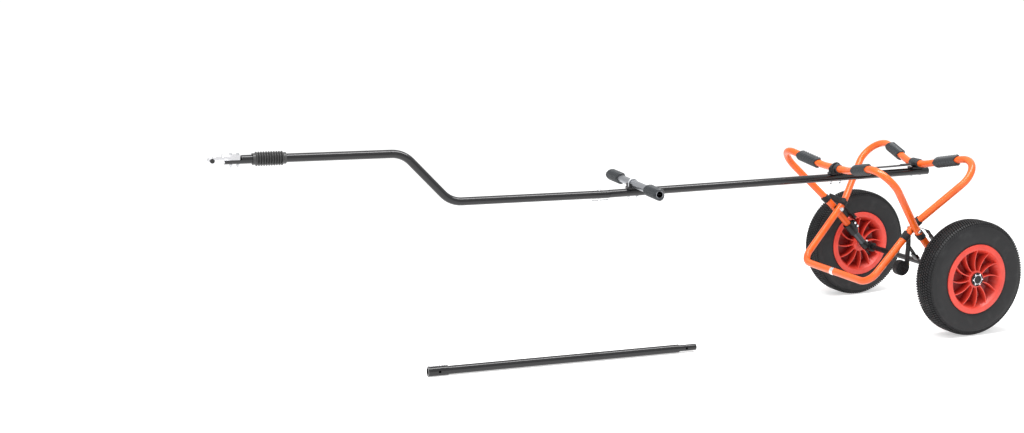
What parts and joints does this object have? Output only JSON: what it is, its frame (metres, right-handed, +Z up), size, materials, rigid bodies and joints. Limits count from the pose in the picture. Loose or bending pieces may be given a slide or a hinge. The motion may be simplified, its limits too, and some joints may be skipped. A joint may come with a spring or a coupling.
{
  "type": "bicycle kayak trailer",
  "caption": "Two-wheeled bicycle trailer for a kayak: folding crossed-loop cradle with ribbed pads, pinned drawbar, support bar, flexible hitch and a loose extension tube.",
  "frame": {"origin": "on the floor under the middle of the whole trailer's length, on its middle plane", "axes": "+X from the hitch back to the wheels, +Y to the trailer's right side, +Z up"},
  "size_m": [2.7405, 0.7682, 0.7251],
  "materials": {
    "tyre": "satin",
    "inner_tube": "matte",
    "rim": "moulded, semi-gloss",
    "bush": "moulded",
    "black_steel": "gloss black",
    "zinc_steel": "zinc plated",
    "black_plastic": "satin",
    "grey_tube": "anodised",
    "orange_tube": "gloss powder coat",
    "pad_rubber": "satin",
    "black_tube": "gloss black powder coat",
    "bellows_rubber": "satin",
    "webbing": "woven"
  },
  "bodies": {
    "chassis": {"axle": "black_steel", "axle_spacers": "zinc_steel", "hub_washers": "zinc_steel", "hub_caps": "black_plastic", "axle_brackets": "black_plastic", "bracket_bolts": "zinc_steel", "leg_extensions": "grey_tube", "leg_clamps": "black_plastic", "leg_clamp_bolts": "zinc_steel", "front_cradle_tube": "orange_tube", "front_pad_left": "pad_rubber", "front_pad_right": "pad_rubber", "front_saddle_liner": "pad_rubber", "crossing_bolts": "zinc_steel", "crossing_nuts": "zinc_steel", "crossing_washers": "black_plastic", "front_saddle": "black_plastic", "rear_saddle": "black_plastic", "front_u_bolt": "zinc_steel", "rear_saddle_screws": "zinc_steel", "u_bolt_nuts": "zinc_steel", "drawbar_rear": "black_tube", "drawbar_end_cap": "black_plastic", "drawbar_spigot": "grey_tube", "drawbar_front": "black_tube", "lock_pin": "zinc_steel", "lock_pin_clip": "zinc_steel", "support_bar": "grey_tube", "support_saddle": "black_plastic", "support_u_bolt": "zinc_steel", "support_grip_left": "pad_rubber", "support_grip_right": "pad_rubber", "coupling_rear_yoke": "zinc_steel", "hitch_bellows": "bellows_rubber", "spread_strap": "webbing", "strap_wraps_front": "webbing", "strap_tails": "webbing", "strap_buckles": "black_plastic"},
    "rear_frame": {"rear_cradle_tube": "orange_tube", "crossbar_ferrule": "zinc_steel", "rear_pad_left": "pad_rubber", "rear_pad_right": "pad_rubber", "rear_saddle_liner": "pad_rubber", "strap_wraps_rear": "webbing", "strap_hanging_end": "webbing"},
    "wheel_left": {"tyre_left": "tyre", "inner_tube_left": "inner_tube", "rim_left": "rim", "hub_bushes_left": "bush"},
    "wheel_right": {"tyre_right": "tyre", "inner_tube_right": "inner_tube", "rim_right": "rim", "hub_bushes_right": "bush"},
    "universal_cross": {"coupling_cross": "zinc_steel"},
    "hitch_head": {"hitch_stub": "black_tube", "hitch_bracket": "zinc_steel", "hitch_bolts": "zinc_steel"},
    "pull_pin": {"hitch_pin": "black_plastic"},
    "loose_tube": {"extension_tube": "black_tube", "extension_clip": "zinc_steel"}
  },
  "joints": [
    {"name": "cradle_fold", "type": "hinge", "parent": "chassis", "child": "rear_frame", "pos_m": [1.01179, 0, 0.35874], "axis": [0, -1, 0], "range_deg": [0, 71]},
    {"name": "wheel_left_spin", "type": "hinge", "parent": "chassis", "child": "wheel_left", "pos_m": [1.17038, -0.335, 0.2], "axis": [0, 1, 0], "continuous": true},
    {"name": "wheel_right_spin", "type": "hinge", "parent": "chassis", "child": "wheel_right", "pos_m": [1.17038, 0.335, 0.2], "axis": [0, 1, 0], "continuous": true},
    {"name": "hitch_yaw", "type": "hinge", "parent": "chassis", "child": "universal_cross", "pos_m": [-1.18619, 0, 0.70231], "axis": [0.0209, 0, 0.9998], "range_deg": [-35, 35], "stiffness_Nm_per_rad": 15, "deforming": ["hitch_bellows"]},
    {"name": "hitch_pitch", "type": "hinge", "parent": "universal_cross", "child": "hitch_head", "pos_m": [-1.18619, 0, 0.70231], "axis": [0, 1, 0], "range_deg": [-25, 25], "stiffness_Nm_per_rad": 15, "deforming": ["hitch_bellows"]},
    {"name": "pin_pull", "type": "slide", "parent": "hitch_head", "child": "pull_pin", "axis": [0, -1, 0], "range_m": [0, 0.03]},
    {"name": "extension_lift", "type": "slide", "parent": "chassis", "child": "loose_tube", "axis": [0, 0, 1], "range_m": [0, 0.45]}
  ]
}
